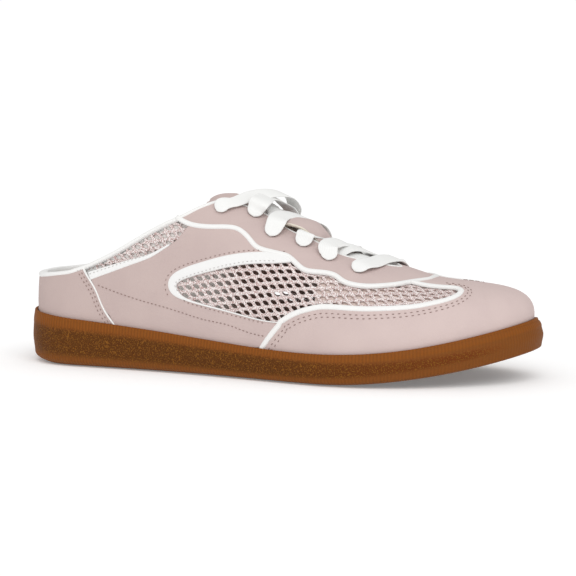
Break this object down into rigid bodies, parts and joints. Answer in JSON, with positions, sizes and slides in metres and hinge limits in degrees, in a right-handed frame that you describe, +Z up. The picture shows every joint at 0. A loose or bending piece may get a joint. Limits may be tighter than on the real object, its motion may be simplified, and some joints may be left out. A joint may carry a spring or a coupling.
{
  "type": "sneaker mule",
  "caption": "Backless laced sneaker mule for a right foot: gum cup sole, net upper with nubuck panels, piping and flat laces.",
  "frame": {"origin": "on the floor, under the middle of the shoe's box", "axes": "+X from heel to toe, +Y towards the big toe side, +Z up"},
  "size_m": [0.264, 0.0942, 0.0924],
  "materials": {
    "gum_rubber": "satin, stippled side",
    "nubuck": "matte, fine nap",
    "white_trim": "smooth, semi-matte",
    "net": "open knit of twisted pink and white yarn",
    "lace": "flat tubular weave",
    "footbed": "brushed lining"
  },
  "bodies": {
    "root": {"outsole": "gum_rubber", "insole": "footbed", "upper": "net", "heel_counter": "nubuck", "quarter_lateral": "nubuck", "quarter_medial": "nubuck", "toe_panel": "nubuck", "eyestay": "nubuck", "tongue": "nubuck", "eyestay_piping": "white_trim", "toe_piping_lateral": "white_trim", "toe_piping_medial": "white_trim", "window_tape_lateral": "white_trim", "window_tape_medial": "white_trim", "counter_piping_lateral": "white_trim", "counter_piping_medial": "white_trim", "rear_tape_lateral": "white_trim", "rear_tape_medial": "white_trim", "topline_binding": "white_trim", "lace_top": "lace", "lace_middle": "lace", "lace_under_keeper": "lace", "lace_front": "lace"}
  },
  "joints": []
}
